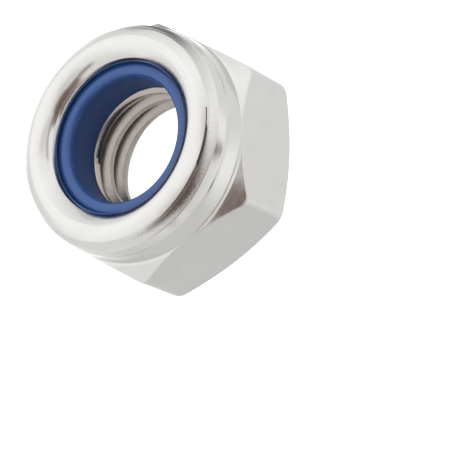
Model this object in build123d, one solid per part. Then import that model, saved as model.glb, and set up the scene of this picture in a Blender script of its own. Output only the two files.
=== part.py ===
from build123d import *
import os
from math import atan2, cos, degrees, hypot, radians, sin, sqrt, tan

# M8 x 1.25 nylon insert lock nut, all lengths in millimetres, angles in degrees.
# The nut stands on its bearing face at Z = 0 and its axis is the Z axis, so the
# bolt comes in from below and the collar that grips the nylon ring is on top.

# Thread size and its openings
thread_minor_diameter = 6.647
bearing_countersink_diameter = 9.20
bearing_countersink_depth = 1.60
seat_chamfer = 0.30

# Hexagon
across_flats = 13.0
hex_corner_radius = 0.80
bearing_face_diameter = 12.28
bearing_chamfer_angle = 31.0
top_chamfer_angle = 41.0
top_rim = (6.46, 5.09)
top_shelf = (6.60, 4.99)

# Turned band above the hexagon: a shallow waist, then a cone up to its rounded top edge
waist_bottom = (6.388, 6.02)
waist = (6.380, 6.20)
waist_top = (6.405, 6.42)
band_edge_centre = (6.084, 6.956)
band_edge_bend = 0.22
band_cone_angle = 11.0
shoulder_hollow = 1.22

# Collar: a thin wall rolled inward over the nylon ring
nut_height = 8.0
crown_apex_radius = 5.27
crown_outer_bend = 0.50
crown_outer_angle = 63.0
crown_slope_bend = 3.168
roll_top_angle = 53.93
roll_centre = (5.830, 7.554)
roll_bend = 0.16
crown_inner_bend = 0.54
crown_inner_angle = 120.0
inner_slope_bend = 2.415
lip_top_angle = 140.0
lip_bend = 0.42
lip_underside_height = 6.960

# Pocket that holds the ring, turned above the thread
pocket_radius = 5.35
pocket_floor_height = 4.60

# Nylon ring
ring_bore_radius = 3.52
ring_crest_height = 6.95
ring_inner_chamfer = 0.34
ring_rim_bend = 0.60
ring_rim_end_angle = 46.0
ring_grip_radius = 4.42


def along(centre, radius, angle):
    """Point at a radius and angle from a centre in the section, as radius and height."""
    return (centre[0] + radius * cos(radians(angle)), centre[1] + radius * sin(radians(angle)))


def bend(centre, radius, start, end):
    """Arc of the section about a centre, from one angle to another."""
    middle = (start + end) / 2
    return ThreePointArc(
        along(centre, radius, start), along(centre, radius, middle), along(centre, radius, end)
    )


def hollow_between(lower, lower_bend, upper, upper_bend, hollow):
    """Centre of a hollow that meets two round edges of the section without an edge of its own.

    Its angles seen from the lower and the upper edge's centre come with it.
    """
    lower_reach, upper_reach = hollow + lower_bend, hollow + upper_bend
    rise = (upper[0] - lower[0], upper[1] - lower[1])
    gap = hypot(*rise)
    forward = (gap**2 + lower_reach**2 - upper_reach**2) / (2 * gap)
    outward = sqrt(lower_reach**2 - forward**2)
    centre = (
        lower[0] + (forward * rise[0] + outward * rise[1]) / gap,
        lower[1] + (forward * rise[1] - outward * rise[0]) / gap,
    )
    seen_from = [degrees(atan2(centre[1] - edge[1], centre[0] - edge[0])) for edge in (lower, upper)]
    return centre, *seen_from


def revolve_section(section):
    """Solid of revolution about the Z axis from a section drawn as radius and height."""
    return revolve(Plane.XZ * section, axis=Axis.Z)


def nut_section():
    """Half section of the whole nut, as if it had been turned from a large round bar."""
    beyond_corners = across_flats / sqrt(3) + 0.6

    # The collar's crown is a run of bends that meet without an edge, from the roll to the lip
    outer_crown = (crown_apex_radius, nut_height - crown_outer_bend)
    inner_crown = (crown_apex_radius, nut_height - crown_inner_bend)
    outer_slope = along(outer_crown, crown_outer_bend - crown_slope_bend, crown_outer_angle)
    inner_slope = along(inner_crown, crown_inner_bend - inner_slope_bend, crown_inner_angle)
    lip = along(inner_slope, inner_slope_bend - lip_bend, lip_top_angle)
    roll_end = along(roll_centre, roll_bend, roll_top_angle)
    slope_foot = along(outer_slope, crown_slope_bend, roll_top_angle)
    hollow, band_edge_end, roll_foot = hollow_between(
        band_edge_centre, band_edge_bend, roll_centre, roll_bend, shoulder_hollow
    )
    lip_foot = (lip[0] - lip_bend, lip_underside_height)

    bearing_rim = bearing_face_diameter / 2
    bottom_cone_height = (beyond_corners - bearing_rim) * tan(radians(bearing_chamfer_angle))
    top_cone_foot = top_shelf[1] - (beyond_corners - top_shelf[0]) * tan(radians(top_chamfer_angle))
    bore = thread_minor_diameter / 2

    outline = [
        Line((bearing_countersink_diameter / 2, 0), (bearing_rim, 0)),
        Line((bearing_rim, 0), (beyond_corners, bottom_cone_height)),
        Line((beyond_corners, bottom_cone_height), (beyond_corners, top_cone_foot)),
        Line((beyond_corners, top_cone_foot), top_shelf),
        Line(top_shelf, top_rim),
        Line(top_rim, waist_bottom),
        Line(waist_bottom, waist),
        Line(waist, waist_top),
        Line(waist_top, along(band_edge_centre, band_edge_bend, band_cone_angle)),
        bend(band_edge_centre, band_edge_bend, band_cone_angle, band_edge_end),
        bend(hollow, shoulder_hollow, 180 + band_edge_end, 180 + roll_foot),
        bend(roll_centre, roll_bend, roll_foot, roll_top_angle),
        Line(roll_end, slope_foot),
        bend(outer_slope, crown_slope_bend, roll_top_angle, crown_outer_angle),
        bend(outer_crown, crown_outer_bend, crown_outer_angle, 90),
        bend(inner_crown, crown_inner_bend, 90, crown_inner_angle),
        bend(inner_slope, inner_slope_bend, crown_inner_angle, lip_top_angle),
        bend(lip, lip_bend, lip_top_angle, 180),
        Line(along(lip, lip_bend, 180), lip_foot),
        Line(lip_foot, (pocket_radius, lip_underside_height)),
        Line((pocket_radius, lip_underside_height), (pocket_radius, pocket_floor_height)),
        Line((pocket_radius, pocket_floor_height), (bore + seat_chamfer, pocket_floor_height)),
        Line((bore + seat_chamfer, pocket_floor_height), (bore, pocket_floor_height - seat_chamfer)),
        Line((bore, pocket_floor_height - seat_chamfer), (bore, bearing_countersink_depth)),
        Line((bore, bearing_countersink_depth), (bearing_countersink_diameter / 2, 0)),
    ]
    return make_face(Wire(outline))


def hexagonal_bar():
    """Hexagonal bar with its flats across X and softened corners."""
    profile = RegularPolygon(radius=across_flats / 2, side_count=6, major_radius=False, rotation=30)
    rounded = fillet(profile.vertices(), radius=hex_corner_radius)
    return extrude(rounded, amount=nut_height)


def ring_section():
    """Half section of the nylon ring: a plain sleeve whose rim swells inside the lip."""
    crest_radius = ring_bore_radius + ring_inner_chamfer
    rim = (crest_radius, ring_crest_height - ring_rim_bend)
    inner_edge = (ring_bore_radius, ring_crest_height - ring_inner_chamfer)
    rim_dip = along(rim, ring_rim_bend, ring_rim_end_angle)
    outline = [
        Line((ring_bore_radius, pocket_floor_height), (pocket_radius, pocket_floor_height)),
        Line((pocket_radius, pocket_floor_height), (pocket_radius, lip_underside_height)),
        Line((pocket_radius, lip_underside_height), (ring_grip_radius, lip_underside_height)),
        Line((ring_grip_radius, lip_underside_height), rim_dip),
        bend(rim, ring_rim_bend, ring_rim_end_angle, 90),
        Line((crest_radius, ring_crest_height), inner_edge),
        Line(inner_edge, (ring_bore_radius, pocket_floor_height)),
    ]
    return make_face(Wire(outline))


nut_body = hexagonal_bar() & revolve_section(nut_section())
nylon_insert = revolve_section(ring_section())

os.makedirs("parts", exist_ok=True)
export_step(nut_body, "parts/nut_body.step")
export_step(nylon_insert, "parts/nylon_insert.step")
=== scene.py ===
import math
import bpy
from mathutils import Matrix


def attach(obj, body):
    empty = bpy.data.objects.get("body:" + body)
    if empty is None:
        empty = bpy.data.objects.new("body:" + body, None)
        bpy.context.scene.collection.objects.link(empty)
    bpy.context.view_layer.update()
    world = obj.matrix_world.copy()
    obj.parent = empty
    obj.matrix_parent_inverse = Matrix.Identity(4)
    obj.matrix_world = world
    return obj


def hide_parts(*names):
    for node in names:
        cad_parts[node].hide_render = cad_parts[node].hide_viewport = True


bl_info = {
    "name": "Nylon insert lock nut",
    "version": (1, 0, 0),
    "blender": (4, 5, 0),
    "location": "View3D > Sidebar > Lock Nut",
    "description": "Builds a hexagon lock nut with a rolled collar, a cut thread and a nylon ring",
    "category": "Add Mesh",
}

from typing import NamedTuple

import bmesh
import bpy
from bpy.props import FloatProperty, FloatVectorProperty, PointerProperty
from mathutils import Quaternion, Vector

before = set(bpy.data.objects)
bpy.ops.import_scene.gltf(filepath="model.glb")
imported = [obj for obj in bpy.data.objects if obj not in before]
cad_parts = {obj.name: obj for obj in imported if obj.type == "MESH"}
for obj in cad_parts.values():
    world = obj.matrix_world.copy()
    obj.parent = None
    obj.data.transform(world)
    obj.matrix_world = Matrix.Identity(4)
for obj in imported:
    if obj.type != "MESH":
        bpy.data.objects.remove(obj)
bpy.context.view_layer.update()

MM = 0.001
FLATS = 6
BODY = "root"

# Finishes of the steel body and of the ring, in the order of their material slots
TURNED, PRESSED, CREST, FLANK, EDGE, CREASE, SHOULDER = range(7)
RIM, SLEEVE = range(2)

# A rounding takes at most this share of the runs beside it, and its support points stand a little
# further out
LONGEST_REACH, SUPPORT_REACH = 0.42, 1.15

# Shelf between the upper chamfer and the turned band: width, drop, rounding, and the largest share
# of the room there that it takes
SHELF_WIDTH, SHELF_DROP, SHELF_ROUNDING, SHELF_SHARE = 0.14 * MM, 0.10 * MM, 0.50 * MM, 0.75

# How soft the flat's top edge and the chamfer's top edge are, as shares of the hexagon's edge softness
FLAT_TOP_SOFTNESS, CHAMFER_TOP_SOFTNESS = 0.4, 0.3

# Turned band above the hexagon, as radius and height
WAIST_FOOT = (6.388 * MM, 6.02 * MM)
WAIST = (6.380 * MM, 6.20 * MM)
WAIST_TOP = (6.405 * MM, 6.42 * MM)
BAND_EDGE = (6.084 * MM, 6.956 * MM)
BAND_EDGE_BEND = 0.22 * MM
BAND_EDGE_START = 11
WAIST_END_ROUNDING, WAIST_ROUNDING = 0.30 * MM, 0.60 * MM

# Rolled collar: the bends between the hollow of the shoulder and the lip, and the angles that end them
SHOULDER_HOLLOW = 1.22 * MM
ROLL_RADIUS, ROLL_DROP, ROLL_BEND, ROLL_END = 5.830 * MM, 0.446 * MM, 0.16 * MM, 53.93
OUTER_SLOPE_BEND, OUTER_SLOPE_END = 3.168 * MM, 63
CROWN_RADIUS = 5.27 * MM
CROWN_OUTER_BEND, CROWN_TOP = 0.50 * MM, 90
CROWN_INNER_BEND, CROWN_INNER_END = 0.54 * MM, 120
INNER_SLOPE_BEND, INNER_SLOPE_END = 2.415 * MM, 140
BEAD_BEND, BEAD_END = 0.30 * MM, 153
BEAD_FACE_BEND, BEAD_FACE_END = 4.00 * MM, 155.5
LIP_BEND, LIP_END = 0.20 * MM, 180
LIP_UNDERSIDE_DROP = 1.04 * MM

# Strips of painted shade in the crease outside the collar: lowest and highest height in millimetres,
# and the azimuths in degrees between which they run, from the front towards the right
COLLAR_OUTSIDE = 5.9 * MM
CREASE_SHADE_STRIPS = ((7.541, 7.595, 4, 25), (7.595, 7.622, -25, 26), (7.622, 7.675, 6, 35))

# Nylon ring: the bends of its swollen rim
RING_GRIP_RADIUS = 4.42 * MM
RING_RIM_BEND, RING_RIM_START = 0.60 * MM, 46
RING_INNER_BEND = 0.34 * MM
RING_COLUMNS = 192

# Thread: share of the pitch from a crest's middle to its edge and to the root's edge, and the smallest
# gaps between two of its lines and between a line and the bore's ends
CREST_EDGE, ROOT_EDGE = 0.125, 0.4375
LINE_GAP, END_GAP = 0.02 * MM, 0.03 * MM
# A face of the bore has the crest's finish where it lies no deeper than this below the crest
CREST_DEPTH = 0.02 * MM

# Sockets of the Mix node in its colour mode, which go by number because its modes share their names
MIX_INPUTS, MIX_RESULT = {"A": 6, "B": 7}, 2

# Colours and roughnesses of the steel where painted light stands in its colour, and the share of the
# ring's colour that the sleeve keeps under its painted shade
# Thread colours darker than the steel: painted shade for the shade inside the bore
THREAD_CREST_SHADE_COLOUR, THREAD_FLANK_SHADE_COLOUR = (0.42, 0.39, 0.36), (0.40, 0.365, 0.33)
# Edge colour lighter than the steel: painted highlight over the edges' real rough tumbled finish
EDGE_HIGHLIGHT_COLOUR, EDGE_ROUGHNESS = (0.78, 0.77, 0.75), 0.50
# Crease colour: painted shade, dark steel where shade falls in the crease below the roll
CREASE_SHADE_COLOUR, CREASE_ROUGHNESS = (0.12, 0.095, 0.085), 0.45
# The sleeve is the ring's own nylon darkened by this share: painted shade inside the ring
SLEEVE_PAINTED_SHADE = 0.60

# Finishes: how far colour and polish wander, nylon's index of refraction, and the patterns' scales in
# waves per metre
STEEL_TINT, NYLON_TINT, POLISH_SPREAD, NYLON_IOR = 0.05, 0.12, 0.12, 1.53
CLOUD_SCALE, WAVE_SCALE, MARK_SCALE = 700.0, 1400.0, 3500.0
NYLON_CLOUD_SCALE, NYLON_PORE_SCALE, NYLON_PORE_DEPTH = 900.0, 7000.0, 0.002 * MM
HAIR_SCALE, HAIR_LEAN = 150.0, 10.0

# Studio
TENT_COLOUR = (0.92, 0.92, 0.92, 1)
WHITE = (1, 1, 1, 1)
FLOOR_GLOW, FLOOR_ROUGHNESS = 0.95, 0.6
CAMERA_AIM = Vector((-1.8218, -7.4965, 4.0)) * MM
SENSOR_WIDTH, NEAREST, FARTHEST = 36.0, 0.001, 10.0


# ---------------------------------------------------------------- settings


class NutBodySettings(bpy.types.PropertyGroup):
    """Sizes of the steel body."""

    across_flats: FloatProperty(
        name="Across flats", description="Spanner size of the hexagon",
        default=13.0 * MM, min=0, unit="LENGTH", precision=4,
    )
    corner_radius: FloatProperty(
        name="Corner radius", description="Rounding of the hexagon's six upright edges",
        default=0.80 * MM, min=0, unit="LENGTH", precision=5,
    )
    edge_softness: FloatProperty(
        name="Edge softness", description="Rounding that tumbling leaves on every edge of the hexagon",
        default=0.30 * MM, min=0, unit="LENGTH", precision=5,
    )
    height: FloatProperty(
        name="Height", description="From the bearing face to the top of the collar",
        default=8.0 * MM, min=0, unit="LENGTH", precision=4,
    )
    bearing_face_diameter: FloatProperty(
        name="Bearing face", description="Diameter of the flat face that the nut stands on",
        default=12.28 * MM, min=0, unit="LENGTH", precision=4,
    )
    bearing_chamfer: FloatProperty(
        name="Bearing chamfer", description="Slope of the chamfer below the corners",
        default=math.radians(31.0), min=0, subtype="ANGLE",
    )
    top_chamfer: FloatProperty(
        name="Top chamfer", description="Slope of the chamfer above the corners",
        default=math.radians(41.0), min=0, subtype="ANGLE",
    )
    top_chamfer_height: FloatProperty(
        name="Chamfer top", description="Height at which the upper chamfer ends at the turned band",
        default=5.09 * MM, min=0, unit="LENGTH", precision=4,
    )
    top_chamfer_diameter: FloatProperty(
        name="Chamfer circle", description="Diameter of the circle where the upper chamfer ends",
        default=12.92 * MM, min=0, unit="LENGTH", precision=4,
    )
    pocket_diameter: FloatProperty(
        name="Pocket", description="Diameter of the pocket that holds the nylon ring",
        default=10.7 * MM, min=0, unit="LENGTH", precision=4,
    )
    pocket_floor: FloatProperty(
        name="Pocket floor", description="Height at which the thread ends and the pocket begins",
        default=4.6 * MM, min=0, unit="LENGTH", precision=4,
    )


class ThreadSettings(bpy.types.PropertyGroup):
    """The cut thread and its two openings."""

    major_diameter: FloatProperty(
        name="Thread size", description="Major diameter of the thread",
        default=8.0 * MM, min=0, unit="LENGTH", precision=4,
    )
    minor_diameter: FloatProperty(
        name="Minor diameter", description="Diameter of the hole before the thread is cut",
        default=6.647 * MM, min=0, unit="LENGTH", precision=4,
    )
    pitch: FloatProperty(
        name="Pitch", description="Rise of the thread in one turn",
        default=1.25 * MM, min=0.1 * MM, unit="LENGTH", precision=4,
    )
    start_angle: FloatProperty(
        name="Start angle", description="Turns the thread about the axis",
        default=math.radians(75), subtype="ANGLE",
    )
    crest_softness: FloatProperty(
        name="Crest softness", description="Rounding of the thread's crests and roots",
        default=0.02 * MM, min=0, unit="LENGTH", precision=5,
    )
    countersink_diameter: FloatProperty(
        name="Countersink", description="Diameter of the thread's opening at the bearing face",
        default=9.2 * MM, min=0, unit="LENGTH", precision=4,
    )
    countersink_depth: FloatProperty(
        name="Countersink depth", description="Depth of that opening",
        default=1.60 * MM, min=0, unit="LENGTH", precision=4,
    )
    seat_chamfer: FloatProperty(
        name="Seat chamfer", description="Chamfer of the thread at the pocket's floor",
        default=0.30 * MM, min=0, unit="LENGTH", precision=5,
    )


class NylonRingSettings(bpy.types.PropertyGroup):
    """Sizes and colour of the nylon ring."""

    bore_diameter: FloatProperty(
        name="Ring bore", description="Diameter of the ring's plain hole, smaller than the bolt",
        default=7.04 * MM, min=0, unit="LENGTH", precision=4,
    )
    crest_height: FloatProperty(
        name="Ring crest", description="Height of the ring's swollen rim above the bearing face",
        default=6.95 * MM, min=0, unit="LENGTH", precision=4,
    )
    colour: FloatVectorProperty(
        name="Nylon colour", description="Colour of the moulded nylon",
        default=(0.033, 0.095, 0.30), min=0, max=1, size=3, subtype="COLOR",
    )


class SteelSettings(bpy.types.PropertyGroup):
    """Colour and polish of the steel."""

    colour: FloatVectorProperty(
        name="Steel colour", description="Colour of the bare stainless steel",
        default=(0.70, 0.693, 0.672), min=0, max=1, size=3, subtype="COLOR",
    )
    turned_roughness: FloatProperty(
        name="Collar roughness", description="Roughness of the turned and rolled surfaces",
        default=0.16, min=0, max=1, subtype="FACTOR",
    )
    flat_roughness: FloatProperty(
        name="Flat roughness", description="Roughness of the pressed flats of the hexagon",
        default=0.30, min=0, max=1, subtype="FACTOR",
    )
    thread_roughness: FloatProperty(
        name="Thread roughness", description="Roughness of the cut thread",
        default=0.24, min=0, max=1, subtype="FACTOR",
    )


class StudioSettings(bpy.types.PropertyGroup):
    """Floor, light and camera."""

    floor_size: FloatProperty(
        name="Floor size", description="Side of the pale floor",
        default=1.2, min=0, unit="LENGTH",
    )
    floor_colour: FloatVectorProperty(
        name="Floor colour", description="Colour of the floor",
        default=(0.93, 0.93, 0.93), min=0, max=1, size=3, subtype="COLOR",
    )
    azimuth: FloatProperty(
        name="Camera azimuth", description="Direction of the camera round the thread's axis",
        default=math.radians(3.702), subtype="ANGLE",
    )
    elevation: FloatProperty(
        name="Camera elevation", description="Height of the camera above the floor, as an angle",
        default=math.radians(53.565), subtype="ANGLE",
    )
    roll: FloatProperty(
        name="Camera roll", description="Turn of the camera about its own line of sight",
        default=math.radians(-66.22), subtype="ANGLE",
    )
    distance: FloatProperty(
        name="Camera distance", description="From the camera to the point it looks at",
        default=113.94 * MM, min=0, unit="LENGTH",
    )
    focal_length: FloatProperty(
        name="Focal length", description="Lens length in millimetres on a 36 mm sensor",
        default=166.1, min=1, subtype="DISTANCE_CAMERA",
    )


# ------------------------------------------------------------ section lines


def polar(centre, radius, degrees):
    """Point of a section at a radius and angle from a centre."""
    angle = math.radians(degrees)
    return Vector((centre[0] + radius * math.cos(angle), centre[1] + radius * math.sin(angle)))


class Corner(NamedTuple):
    """Point of a section line, with its rounding, the finish there and the finish of what follows."""

    point: Vector
    rounding: float = 0.0
    steps: int = 0
    finish: int = TURNED
    finish_after: int = TURNED


def sweep(centre, radius, start, end, steps, finish=TURNED):
    """Points of a bend about a centre, both ends included, as sharp points of a line."""
    return [
        Corner(polar(centre, radius, start + (end - start) * k / steps), finish_after=finish)
        for k in range(steps + 1)
    ]


def joined(*lines):
    """One line from several that meet end to end; a meeting point takes the later line's finish."""
    out = list(lines[0])
    for line in lines[1:]:
        out[-1] = out[-1]._replace(finish_after=line[0].finish_after)
        out += line[1:]
    return out


def hollow_between(lower, lower_bend, upper, upper_bend, hollow):
    """Centre of a hollow that meets two round edges smoothly, and its angles seen from them."""
    lower_reach, upper_reach = hollow + lower_bend, hollow + upper_bend
    rise = Vector(upper) - Vector(lower)
    forward = (rise.length_squared + lower_reach**2 - upper_reach**2) / (2 * rise.length)
    outward = math.sqrt(lower_reach**2 - forward**2)
    aside = Vector((rise.y, -rise.x)).normalized()
    centre = Vector(lower) + rise.normalized() * forward + aside * outward
    seen_from = [
        math.degrees(math.atan2(centre.y - edge[1], centre.x - edge[0])) for edge in (lower, upper)
    ]
    return centre, *seen_from


def soften(line):
    """Rounds the corners of a section line into points, each with the finish of what follows it.

    A support point stands on both sides of each rounding, so that smooth shading ends there.
    """
    out = []
    for index, corner in enumerate(line):
        point, steps = corner.point, corner.steps
        if not corner.rounding:
            out.append((point, corner.finish_after))
            continue
        back = line[index - 1].point - point
        ahead = line[index + 1].point - point
        half_turn = (math.pi - back.angle(ahead)) / 2
        longest = LONGEST_REACH * back.length, LONGEST_REACH * ahead.length
        reach = min(corner.rounding * math.tan(half_turn), *longest)
        start, end = point + back.normalized() * reach, point + ahead.normalized() * reach
        out.append((point + back.normalized() * reach * SUPPORT_REACH, corner.finish))
        for k in range(steps + 1):
            t = k / steps
            bent = start * (1 - t) ** 2 + point * (2 * t * (1 - t)) + end * t**2
            out.append((bent, corner.finish))
        out.append((point + ahead.normalized() * reach * SUPPORT_REACH, corner.finish_after))
    return out


# --------------------------------------------------------------- steel body


def axis_distance(vertex):
    """Distance of a mesh's vertex from the thread's axis."""
    return math.hypot(vertex.co.x, vertex.co.y)


def column_angles(nut):
    """Azimuths of the mesh's columns, closer together at the hexagon's corners."""
    side = nut.across_flats / 2
    tangent = math.atan((side - nut.corner_radius) * math.tan(math.pi / FLATS) / side)
    flat_steps, corner_steps = 36, 8
    sector = [tangent * (2 * k / flat_steps - 1) for k in range(flat_steps + 1)]
    gap = 2 * (math.pi / FLATS - tangent)
    sector += [tangent + gap * k / corner_steps for k in range(1, corner_steps)]
    return [flat * 2 * math.pi / FLATS + angle for flat in range(FLATS) for angle in sector]


def hexagon_radius(nut, azimuth):
    """Distance from the axis to the hexagon with rounded corners, at an azimuth."""
    step = 2 * math.pi / FLATS
    from_flat = abs((azimuth + step / 2) % step - step / 2)
    side = nut.across_flats / 2
    corner_centre = (side - nut.corner_radius) / math.cos(step / 2)
    from_corner = step / 2 - from_flat
    tangent = math.atan((side - nut.corner_radius) * math.tan(step / 2) / side)
    if from_flat <= tangent:
        return side / math.cos(from_flat)
    inside = nut.corner_radius**2 - (corner_centre * math.sin(from_corner)) ** 2
    return corner_centre * math.cos(from_corner) + math.sqrt(inside)


def collar_line(height):
    """Section of the collar from the band's top edge over the crown to the lip, for a nut's height."""
    roll = (ROLL_RADIUS, height - ROLL_DROP)
    crown_outside = (CROWN_RADIUS, height - CROWN_OUTER_BEND)
    crown_inside = (CROWN_RADIUS, height - CROWN_INNER_BEND)
    outer_slope = polar(crown_outside, CROWN_OUTER_BEND - OUTER_SLOPE_BEND, OUTER_SLOPE_END)
    inner_slope = polar(crown_inside, CROWN_INNER_BEND - INNER_SLOPE_BEND, CROWN_INNER_END)
    bead = polar(inner_slope, INNER_SLOPE_BEND - BEAD_BEND, INNER_SLOPE_END)
    bead_face = polar(bead, BEAD_BEND - BEAD_FACE_BEND, BEAD_END)
    lip = polar(bead_face, BEAD_FACE_BEND - LIP_BEND, BEAD_FACE_END)
    hollow, band_end, roll_foot = hollow_between(
        BAND_EDGE, BAND_EDGE_BEND, roll, ROLL_BEND, SHOULDER_HOLLOW
    )
    collar = joined(
        sweep(BAND_EDGE, BAND_EDGE_BEND, BAND_EDGE_START, band_end, 8, EDGE),
        sweep(hollow, SHOULDER_HOLLOW, 180 + band_end, 180 + roll_foot, 10, SHOULDER),
        sweep(roll, ROLL_BEND, roll_foot, ROLL_END, 8),
        sweep(outer_slope, OUTER_SLOPE_BEND, ROLL_END, OUTER_SLOPE_END, 5),
        sweep(crown_outside, CROWN_OUTER_BEND, OUTER_SLOPE_END, CROWN_TOP, 6),
        sweep(crown_inside, CROWN_INNER_BEND, CROWN_TOP, CROWN_INNER_END, 6),
        sweep(inner_slope, INNER_SLOPE_BEND, CROWN_INNER_END, INNER_SLOPE_END, 10),
        sweep(bead, BEAD_BEND, INNER_SLOPE_END, BEAD_END, 4),
        sweep(bead_face, BEAD_FACE_BEND, BEAD_END, BEAD_FACE_END, 3),
        sweep(lip, LIP_BEND, BEAD_FACE_END, LIP_END, 4),
    )
    return [*collar, Corner(Vector((lip.x - LIP_BEND, height - LIP_UNDERSIDE_DROP)))]


def outer_section(nut, thread, azimuth):
    """Section of the body at an azimuth, from the countersink's rim round the outside to the pocket."""
    side = hexagon_radius(nut, azimuth)
    rim = nut.bearing_face_diameter / 2
    soft = nut.edge_softness
    flat_foot = (side - rim) * math.tan(nut.bearing_chamfer)
    chamfer_radius = nut.top_chamfer_diameter / 2
    shelf = min(SHELF_WIDTH, SHELF_SHARE * (side - chamfer_radius))
    shelf_height = nut.top_chamfer_height - shelf * SHELF_DROP / SHELF_WIDTH
    flat_top = shelf_height - (side - chamfer_radius - shelf) * math.tan(nut.top_chamfer)
    pocket, pocket_top = nut.pocket_diameter / 2, nut.height - LIP_UNDERSIDE_DROP

    return soften([
        Corner(Vector((thread.countersink_diameter / 2, 0))),
        Corner(Vector((rim, 0)), soft, 4),
        Corner(Vector((side, flat_foot)), soft, 5, finish_after=PRESSED),
        Corner(Vector((side, flat_top)), FLAT_TOP_SOFTNESS * soft, 6, EDGE),
        Corner(Vector((chamfer_radius + shelf, shelf_height)), SHELF_ROUNDING, 5),
        Corner(Vector((chamfer_radius, nut.top_chamfer_height)), CHAMFER_TOP_SOFTNESS * soft, 4, EDGE),
        Corner(Vector(WAIST_FOOT), WAIST_END_ROUNDING, 4),
        Corner(Vector(WAIST), WAIST_ROUNDING, 4),
        Corner(Vector(WAIST_TOP), WAIST_END_ROUNDING, 4),
        *collar_line(nut.height),
        Corner(Vector((pocket, pocket_top))),
        Corner(Vector((pocket, nut.pocket_floor))),
    ])


def thread_profile(thread):
    """One pitch of the thread as rise along the axis and radius, with softened crest and root."""
    crest, root = thread.minor_diameter / 2, thread.major_diameter / 2
    pitch = thread.pitch
    corners = [(-ROOT_EDGE, root), (-CREST_EDGE, crest), (CREST_EDGE, crest), (ROOT_EDGE, root)]
    line = [Corner(Vector(((share + turn) * pitch, radius)), thread.crest_softness, 4)
            for turn in (-1, 0, 1) for share, radius in corners]
    line[0], line[-1] = Corner(line[0].point), Corner(line[-1].point)
    first = -(CREST_EDGE + ROOT_EDGE) / 2 * pitch
    flank = Vector((first, (crest + root) / 2))
    softened = [point for point, _ in soften(line)]
    kept = [p for p in softened if first + LINE_GAP < p.x < first + pitch - LINE_GAP]
    return [(p.x, p.y) for p in (flank, *kept)]


def bore_column(nut, thread, profile, azimuth):
    """Points of the threaded bore at an azimuth, each with its line number, and the topmost point."""
    minor = thread.minor_diameter / 2
    sink = thread.countersink_diameter / 2
    lift = thread.pitch * (azimuth + thread.start_angle) / (2 * math.pi)
    start, start_radius = profile[0]

    def opened(height, radius):
        cone = sink - (sink - minor) * height / thread.countersink_depth
        seat = minor + thread.seat_chamfer - (nut.pocket_floor - height)
        return max(radius, cone, seat)

    def thread_radius(height):
        rise = (height - lift - start) % thread.pitch + start
        closed = [*profile, (start + thread.pitch, start_radius)]
        for (low, low_radius), (high, high_radius) in zip(closed, closed[1:]):
            if low <= rise <= high:
                return low_radius + (high_radius - low_radius) * (rise - low) / (high - low)
        return start_radius

    first_turn = math.floor(-lift / thread.pitch) - 1
    turns = math.ceil(nut.pocket_floor / thread.pitch) + 3
    rows = []
    for turn in range(first_turn, first_turn + turns):
        for index, (rise, radius) in enumerate(profile):
            height = lift + turn * thread.pitch + rise
            if END_GAP < height < nut.pocket_floor - END_GAP:
                rows.append((turn * len(profile) + index, Vector((opened(height, radius), height))))
    top = Vector((opened(nut.pocket_floor, thread_radius(nut.pocket_floor)), nut.pocket_floor))
    return top, rows


def in_crease_shade(azimuth, low, high):
    """Whether a face of the body, given by two of its corners, lies in the painted shade of the crease
    below the roll.
    """
    from_front = math.degrees((azimuth + 1.5 * math.pi) % (2 * math.pi)) - 180
    middle = (low.co.z + high.co.z) / 2 / MM
    return axis_distance(low) >= COLLAR_OUTSIDE and any(
        lowest < middle < highest and start < from_front < end
        for lowest, highest, start, end in CREASE_SHADE_STRIPS
    )


def build_nut_body(nut, thread):
    """Closed mesh of the steel body, made of upright columns that share one section."""
    mesh = bmesh.new()
    angles = column_angles(nut)
    profile = thread_profile(thread)

    def place(azimuth, point):
        return mesh.verts.new((point.x * math.cos(azimuth), point.x * math.sin(azimuth), point.y))

    outsides, insides = [], []
    for azimuth in angles:
        top, rows = bore_column(nut, thread, profile, azimuth)
        section = outer_section(nut, thread, azimuth)
        finishes = [finish for _, finish in section]
        outsides.append([place(azimuth, point) for point in (*(p for p, _ in section), top)])
        insides.append([(key, place(azimuth, point)) for key, point in rows])

    for index, left in enumerate(outsides):
        right = outsides[(index + 1) % len(outsides)]
        for row, finish in enumerate(finishes):
            face = mesh.faces.new((left[row], right[row], right[row + 1], left[row + 1]))
            crease_shaded = in_crease_shade(angles[index], left[row], left[row + 1])
            face.material_index = CREASE if crease_shaded else finish
        wrap = len(profile) if index == len(outsides) - 1 else 0
        zip_columns(mesh, (left[0], insides[index], left[-1]),
                    (right[0], insides[(index + 1) % len(outsides)], right[-1]), wrap,
                    thread.minor_diameter / 2 + CREST_DEPTH)
    bmesh.ops.recalc_face_normals(mesh, faces=mesh.faces)
    return mesh


def zip_columns(mesh, left, right, wrap, crest_radius):
    """Joins two neighbouring columns of the bore along the thread's lines, whose numbers match."""
    far = float("inf")
    sides = []
    for (foot, rows, top), shift in ((left, 0), (right, wrap)):
        sides.append([(-far, foot), *((key - shift, vertex) for key, vertex in rows), (far, top)])
    a, b = 0, 0
    while a < len(sides[0]) - 1 or b < len(sides[1]) - 1:
        next_a = sides[0][a + 1][0] if a < len(sides[0]) - 1 else None
        next_b = sides[1][b + 1][0] if b < len(sides[1]) - 1 else None
        step_a = next_b is None or (next_a is not None and next_a <= next_b)
        step_b = next_a is None or (next_b is not None and next_b <= next_a)
        corners = [sides[0][a][1], sides[1][b][1]]
        if step_b:
            b += 1
            corners.append(sides[1][b][1])
        if step_a:
            a += 1
            corners.append(sides[0][a][1])
        face = mesh.faces.new(corners[::-1])
        face.material_index = CREST if max(map(axis_distance, corners)) < crest_radius else FLANK


# --------------------------------------------------------------- nylon ring


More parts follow.
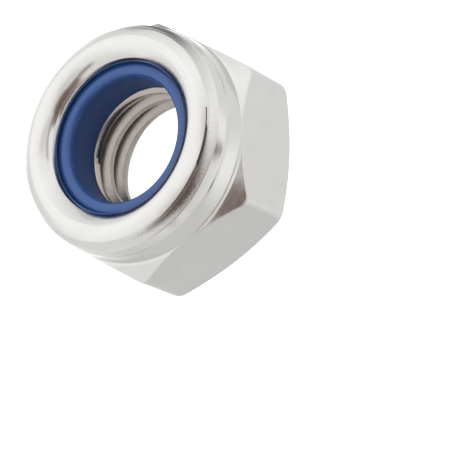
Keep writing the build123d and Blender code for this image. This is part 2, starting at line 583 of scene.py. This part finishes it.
def build_ring(ring, nut):
    """Closed mesh of the nylon ring: a sleeve whose rim swells inside the collar's lip."""
    bore, outside = ring.bore_diameter / 2, nut.pocket_diameter / 2
    lip_underside = nut.height - LIP_UNDERSIDE_DROP
    rim = (bore + RING_INNER_BEND, ring.crest_height - RING_RIM_BEND)
    inner = (bore + RING_INNER_BEND, ring.crest_height - RING_INNER_BEND)
    swell = joined(
        sweep(rim, RING_RIM_BEND, RING_RIM_START, 90, 12),
        sweep(inner, RING_INNER_BEND, 90, 180, 12),
    )
    section = [
        Vector((bore, nut.pocket_floor)),
        Vector((outside, nut.pocket_floor)),
        Vector((outside, lip_underside)),
        Vector((RING_GRIP_RADIUS, lip_underside)),
        *(corner.point for corner in swell),
    ]
    mesh = bmesh.new()
    loops = []
    for column in range(RING_COLUMNS):
        azimuth = 2 * math.pi * column / RING_COLUMNS
        loops.append([
            mesh.verts.new((p.x * math.cos(azimuth), p.x * math.sin(azimuth), p.y)) for p in section
        ])
    for index, left in enumerate(loops):
        right = loops[(index + 1) % RING_COLUMNS]
        for row in range(len(section)):
            above = (row + 1) % len(section)
            face = mesh.faces.new((left[row], right[row], right[above], left[above]))
            face.material_index = SLEEVE if row == len(section) - 1 else RIM
    bmesh.ops.recalc_face_normals(mesh, faces=mesh.faces)
    return mesh


# ---------------------------------------------------------------- materials


def node_adder(tree):
    """Function that adds a node to a tree, with its settings and its inputs' values or links."""

    def add(kind, values=None, **settings):
        node = tree.nodes.new(kind)
        for key, value in settings.items():
            setattr(node, key, value)
        for key, value in (values or {}).items():
            if node.bl_idname == "ShaderNodeMix" and key in ("A", "B"):
                key = MIX_INPUTS[key]
            if isinstance(value, bpy.types.NodeSocket):
                tree.links.new(value, node.inputs[key])
            else:
                node.inputs[key].default_value = value
        return node

    return add


def new_material(name):
    """Empty node material with its shader, and a function that adds nodes to it."""
    material = bpy.data.materials.new(name)
    material.use_nodes = True
    tree = material.node_tree
    tree.nodes.clear()
    output = tree.nodes.new("ShaderNodeOutputMaterial")
    shader = tree.nodes.new("ShaderNodeBsdfPrincipled")
    tree.links.new(shader.outputs["BSDF"], output.inputs["Surface"])

    return material, shader, node_adder(tree)


def steel_finish(name, colour, roughness, ripple, grain, streaks=0.0):
    """Bare steel with uneven polish.

    Ripple is the depth of its waves, grain of its fine marks, and streaks of the hair lines that run
    out from the axis.
    """
    material, shader, add = new_material(name)
    shader.inputs["Metallic"].default_value = 1.0
    place = add("ShaderNodeTexCoord").outputs["Object"]
    clouds = add("ShaderNodeTexNoise", {"Vector": place, "Scale": CLOUD_SCALE, "Detail": 3.0})
    tint = add("ShaderNodeMix", {
        "Factor": clouds.outputs["Fac"],
        "A": (*[c * (1 - STEEL_TINT) for c in colour], 1),
        "B": (*[min(1, c * (1 + STEEL_TINT)) for c in colour], 1),
    }, data_type="RGBA")
    marks = add("ShaderNodeTexNoise", {"Vector": place, "Scale": MARK_SCALE, "Detail": 2.0})
    polish = add("ShaderNodeMapRange", {
        "Value": marks.outputs["Fac"], "From Min": 0.3, "From Max": 0.7,
        "To Min": roughness * (1 - POLISH_SPREAD), "To Max": roughness * (1 + POLISH_SPREAD),
    })
    waves = add("ShaderNodeTexNoise", {"Vector": place, "Scale": WAVE_SCALE, "Detail": 2.0})
    wavy = add("ShaderNodeBump", {"Height": waves.outputs["Fac"], "Strength": 1.0, "Distance": ripple})
    fine = add("ShaderNodeBump", {
        "Height": marks.outputs["Fac"], "Strength": 1.0, "Distance": grain,
        "Normal": wavy.outputs["Normal"],
    })
    normal = fine.outputs["Normal"]
    if streaks:
        level = add("ShaderNodeVectorMath", {0: place, 1: (1.0, 1.0, 0.0)}, operation="MULTIPLY")
        heading = add("ShaderNodeVectorMath", {0: level.outputs["Vector"]}, operation="NORMALIZE")
        upright = add("ShaderNodeVectorMath", {0: place, 1: (0.0, 0.0, HAIR_LEAN)},
                      operation="MULTIPLY")
        spread = add("ShaderNodeVectorMath", {
            0: heading.outputs["Vector"], 1: upright.outputs["Vector"],
        })
        hairs = add("ShaderNodeTexNoise", {
            "Vector": spread.outputs["Vector"], "Scale": HAIR_SCALE, "Detail": 3.0, "Roughness": 0.7,
        })
        normal = add("ShaderNodeBump", {
            "Height": hairs.outputs["Fac"], "Strength": 1.0, "Distance": streaks, "Normal": normal,
        }).outputs["Normal"]
    links = material.node_tree.links
    links.new(tint.outputs[MIX_RESULT], shader.inputs["Base Color"])
    links.new(polish.outputs["Result"], shader.inputs["Roughness"])
    links.new(normal, shader.inputs["Normal"])
    return material


def nylon_finish(name, colour, roughness, sheen):
    """Moulded nylon, satin and slightly milky: sheen is the strength of its gloss."""
    material, shader, add = new_material(name)
    shader.inputs["Roughness"].default_value = roughness
    shader.inputs["IOR"].default_value = NYLON_IOR
    shader.inputs["Specular IOR Level"].default_value = sheen
    place = add("ShaderNodeTexCoord").outputs["Object"]
    clouds = add("ShaderNodeTexNoise", {"Vector": place, "Scale": NYLON_CLOUD_SCALE, "Detail": 3.0})
    tint = add("ShaderNodeMix", {
        "Factor": clouds.outputs["Fac"],
        "A": (*[c * (1 - NYLON_TINT) for c in colour], 1),
        "B": (*[c * (1 + NYLON_TINT) for c in colour], 1),
    }, data_type="RGBA")
    pores = add("ShaderNodeTexNoise", {"Vector": place, "Scale": NYLON_PORE_SCALE, "Detail": 2.0})
    bump = add("ShaderNodeBump", {
        "Height": pores.outputs["Fac"], "Strength": 1.0, "Distance": NYLON_PORE_DEPTH,
    })
    links = material.node_tree.links
    links.new(tint.outputs[MIX_RESULT], shader.inputs["Base Color"])
    links.new(bump.outputs["Normal"], shader.inputs["Normal"])
    return material


# ------------------------------------------------------------------- pieces


def add_piece(name, mesh, node, materials):
    """Turns a mesh into a piece of the nut that stands for one solid of the frame."""
    data = bpy.data.meshes.new(name)
    mesh.to_mesh(data)
    mesh.free()
    data.shade_smooth()
    for material in materials:
        data.materials.append(material)
    piece = bpy.data.objects.new(name, data)
    bpy.context.scene.collection.objects.link(piece)
    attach(piece, BODY)
    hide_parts(node)
    return piece


class LOCKNUT_OT_add_nut_body(bpy.types.Operator):
    """Add the steel body with its hexagon, collar and cut thread"""

    bl_idname = "locknut.add_nut_body"
    bl_label = "Add steel body"

    def execute(self, context):
        scene = context.scene
        steel = scene.locknut_steel
        finishes = [
            steel_finish("turned_steel", steel.colour, steel.turned_roughness,
                         ripple=0.004 * MM, grain=0.0004 * MM),
            steel_finish("pressed_steel", steel.colour, steel.flat_roughness,
                         ripple=0.005 * MM, grain=0.0002 * MM),
            # Darker steel on the thread: painted shade inside the bore
            steel_finish("thread_crest_painted_shade", THREAD_CREST_SHADE_COLOUR, 2 * steel.thread_roughness,
                         ripple=0.003 * MM, grain=0.0002 * MM),
            steel_finish("thread_flank_painted_shade", THREAD_FLANK_SHADE_COLOUR, steel.thread_roughness,
                         ripple=0.003 * MM, grain=0.0002 * MM),
            # Lighter steel on the edges: painted highlight over their rough tumbled finish
            steel_finish("tumbled_edge_painted_highlight", EDGE_HIGHLIGHT_COLOUR, EDGE_ROUGHNESS,
                         ripple=0.004 * MM, grain=0.0004 * MM),
            # Dark steel in the crease below the roll, only towards the front and right: painted shade
            steel_finish("crease_painted_shade", CREASE_SHADE_COLOUR, CREASE_ROUGHNESS,
                         ripple=0.002 * MM, grain=0.0002 * MM),
            steel_finish("rolled_shoulder", steel.colour, steel.turned_roughness,
                         ripple=0.004 * MM, grain=0.0004 * MM, streaks=0.013 * MM),
        ]
        add_piece("steel_body", build_nut_body(scene.locknut_body, scene.locknut_thread),
                  "nut_body", finishes)
        return {"FINISHED"}


class LOCKNUT_OT_add_nylon_ring(bpy.types.Operator):
    """Add the nylon ring that the collar holds"""

    bl_idname = "locknut.add_nylon_ring"
    bl_label = "Add nylon ring"

    def execute(self, context):
        scene = context.scene
        ring = scene.locknut_ring
        # Darker copy of the ring's colour for the sleeve: painted shade
        sleeve_shade_colour = [SLEEVE_PAINTED_SHADE * c for c in ring.colour]
        finishes = [
            nylon_finish("nylon_rim", ring.colour, roughness=0.20, sheen=0.45),
            nylon_finish("nylon_sleeve_painted_shade", sleeve_shade_colour, roughness=0.60, sheen=0.15),
        ]
        add_piece("nylon_ring", build_ring(ring, scene.locknut_body), "nylon_insert", finishes)
        return {"FINISHED"}


class LOCKNUT_OT_add_stage(bpy.types.Operator):
    """Add the pale floor, the soft light and the camera"""

    bl_idname = "locknut.add_stage"
    bl_label = "Add stage"

    def execute(self, context):
        studio = context.scene.locknut_studio
        add_floor(studio)
        add_light(context.scene)
        add_camera(context.scene, studio)
        context.scene.view_settings.view_transform = "Standard"
        return {"FINISHED"}


def add_floor(studio):
    """Pale floor that glows a little, like a light table."""
    mesh = bmesh.new()
    bmesh.ops.create_grid(mesh, x_segments=1, y_segments=1, size=studio.floor_size / 2)
    data = bpy.data.meshes.new("floor")
    mesh.to_mesh(data)
    mesh.free()
    floor = bpy.data.objects.new("floor", data)
    bpy.context.scene.collection.objects.link(floor)
    material, shader, _ = new_material("pale_floor")
    shader.inputs["Base Color"].default_value = (*studio.floor_colour, 1)
    shader.inputs["Roughness"].default_value = FLOOR_ROUGHNESS
    shader.inputs["Specular IOR Level"].default_value = 0.0
    shader.inputs["Emission Color"].default_value = WHITE
    shader.inputs["Emission Strength"].default_value = FLOOR_GLOW
    data.materials.append(material)
    floor.visible_glossy = False


def add_panel_to_tent(add, ray, under, panel):
    """Lays one soft-edged rectangular panel over what the tent shows so far, and returns the result."""
    _, azimuth, elevation, turn, half_width, half_height, softness, colour = panel
    azimuth, elevation, turn = map(math.radians, (azimuth, elevation, turn))
    out = Vector((
        math.sin(azimuth) * math.cos(elevation),
        -math.cos(azimuth) * math.cos(elevation),
        math.sin(elevation),
    ))
    across = Vector((0, 0, 1)).cross(out).normalized()
    upright = out.cross(across)
    sideways = across * math.cos(turn) + upright * math.sin(turn)
    upwards = upright * math.cos(turn) - across * math.sin(turn)

    def project(direction):
        product = add("ShaderNodeVectorMath", {0: ray, 1: direction}, operation="DOT_PRODUCT")
        return product.outputs["Value"]

    def math_node(operation, a, b=0.0):
        return add("ShaderNodeMath", {0: a, 1: b}, operation=operation).outputs["Value"]

    depth = math_node("MAXIMUM", project(out), 0.001)
    cover = None
    for direction, half in ((sideways, half_width), (upwards, half_height)):
        angle = math_node("ARCTAN2", math_node("ABSOLUTE", project(direction)), depth)
        edge = add("ShaderNodeMapRange", {
            "Value": angle,
            "From Min": math.radians(half - softness), "From Max": math.radians(half + softness),
            "To Min": 1.0, "To Max": 0.0,
        }, interpolation_type="SMOOTHSTEP").outputs["Result"]
        cover = edge if cover is None else math_node("MULTIPLY", cover, edge)
    return add("ShaderNodeMix", {"Factor": cover, "A": under, "B": (*colour, 1)},
               data_type="RGBA").outputs[MIX_RESULT]


# name, azimuth, elevation, turn, half width, half height, softness (degrees), colour
TENT_PANELS = (
    ("ceiling", 150, 75, 0, 80, 50, 30, (1.25, 1.25, 1.25)),
    ("strip_light", 100, 54, 0, 45, 4, 7, (1.35, 1.35, 1.35)),
    ("back_light", 180, -35, 0, 18, 30, 8, (1.40, 1.40, 1.40)),
    ("side_light", 62, 20, 0, 22, 40, 14, (1.12, 1.12, 1.12)),
    ("front_light", 0, -42, 0, 60, 9.5, 5, (1.16, 1.16, 1.16)),
    ("dim_side", -62, -55, 0, 35, 20, 12, (0.76, 0.76, 0.76)),
    ("grey_card", 136, -18, 15, 17, 20, 6, (0.21, 0.208, 0.20)),
    ("haze_left", -25, 54, 0, 20, 5, 6, (0.80, 0.79, 0.78)),
    ("haze_right", 40, 51, 0, 18, 4.5, 6, (0.78, 0.77, 0.76)),
    ("brown_top", -10, 37.5, 0, 28, 8.5, 3.5, (0.235, 0.165, 0.145)),
    ("brown_west", -50, 39, 2, 16, 3.4, 3, (0.235, 0.18, 0.165)),
    ("brown_east", 42, 40, -13, 22, 2.2, 3, (0.22, 0.18, 0.155)),
    ("brown_left", -38, -6, 48, 24, 13, 4, (0.155, 0.115, 0.10)),
    ("brown_middle", -15, -0.5, 0, 17, 25, 3.5, (0.15, 0.108, 0.096)),
    ("brown_slope", 0, 8.5, -60, 18, 9, 4, (0.15, 0.108, 0.096)),
    ("brown_right", 18, -15, -41, 20, 9, 4, (0.15, 0.108, 0.096)),
    ("camera_card", -6.5, 41, 0, 12.5, 7.5, 3, (0.185, 0.125, 0.11)),
    ("edge_light", 48, -3, 0, 9, 9, 5, (1.22, 1.22, 1.22)),
)


def add_light(scene):
    """Even white surroundings, as in a light tent, with a few brighter and darker panels."""
    world = bpy.data.worlds.new("light_tent")
    world.use_nodes = True
    tree = world.node_tree
    add = node_adder(tree)
    ray = add("ShaderNodeTexCoord").outputs["Generated"]
    shown = add("ShaderNodeRGB").outputs["Color"]
    shown.default_value = TENT_COLOUR
    for panel in TENT_PANELS:
        shown = add_panel_to_tent(add, ray, shown, panel)
    seen_direct = add("ShaderNodeLightPath").outputs["Is Camera Ray"]
    shown = add("ShaderNodeMix", {"Factor": seen_direct, "A": shown, "B": WHITE},
                data_type="RGBA").outputs[MIX_RESULT]
    tree.links.new(shown, tree.nodes["Background"].inputs["Color"])
    scene.world = world


def add_camera(scene, studio):
    """Camera that looks at the collar from above, rolled to its side."""
    back = Vector((
        math.sin(studio.azimuth) * math.cos(studio.elevation),
        -math.cos(studio.azimuth) * math.cos(studio.elevation),
        math.sin(studio.elevation),
    ))
    lens = bpy.data.cameras.new("camera")
    lens.sensor_width = SENSOR_WIDTH
    lens.lens = studio.focal_length
    lens.clip_start, lens.clip_end = NEAREST, FARTHEST
    camera = bpy.data.objects.new("camera", lens)
    scene.collection.objects.link(camera)
    camera.location = CAMERA_AIM + back * studio.distance
    camera.rotation_mode = "QUATERNION"
    camera.rotation_quaternion = (-back).to_track_quat("-Z", "Y") @ Quaternion((0, 0, 1), studio.roll)
    scene.camera = camera


# -------------------------------------------------------------------- panel


class LOCKNUT_PT_maker(bpy.types.Panel):
    """Lists the nut's pieces and their sizes"""

    bl_idname = "LOCKNUT_PT_maker"
    bl_label = "Lock nut"
    bl_space_type = "VIEW_3D"
    bl_region_type = "UI"
    bl_category = "Lock Nut"

    def draw(self, context):
        for operator, groups in PANEL_ROWS:
            box = self.layout.box()
            box.operator(operator)
            for group in groups:
                settings = getattr(context.scene, group)
                for key in settings.__annotations__:
                    box.prop(settings, key)


PANEL_ROWS = (
    ("locknut.add_nut_body", ("locknut_body", "locknut_thread", "locknut_steel")),
    ("locknut.add_nylon_ring", ("locknut_ring",)),
    ("locknut.add_stage", ("locknut_studio",)),
)
SETTINGS = {
    "locknut_body": NutBodySettings,
    "locknut_thread": ThreadSettings,
    "locknut_ring": NylonRingSettings,
    "locknut_steel": SteelSettings,
    "locknut_studio": StudioSettings,
}
CLASSES = (
    *SETTINGS.values(),
    LOCKNUT_OT_add_nut_body,
    LOCKNUT_OT_add_nylon_ring,
    LOCKNUT_OT_add_stage,
    LOCKNUT_PT_maker,
)


def register():
    for cls in CLASSES:
        bpy.utils.register_class(cls)
    for name, group in SETTINGS.items():
        setattr(bpy.types.Scene, name, PointerProperty(type=group))


def unregister():
    for name in SETTINGS:
        delattr(bpy.types.Scene, name)
    for cls in reversed(CLASSES):
        bpy.utils.unregister_class(cls)


def main():
    register()
    bpy.ops.locknut.add_nut_body()
    bpy.ops.locknut.add_nylon_ring()
    bpy.ops.locknut.add_stage()


if __name__ == "__main__":
    main()
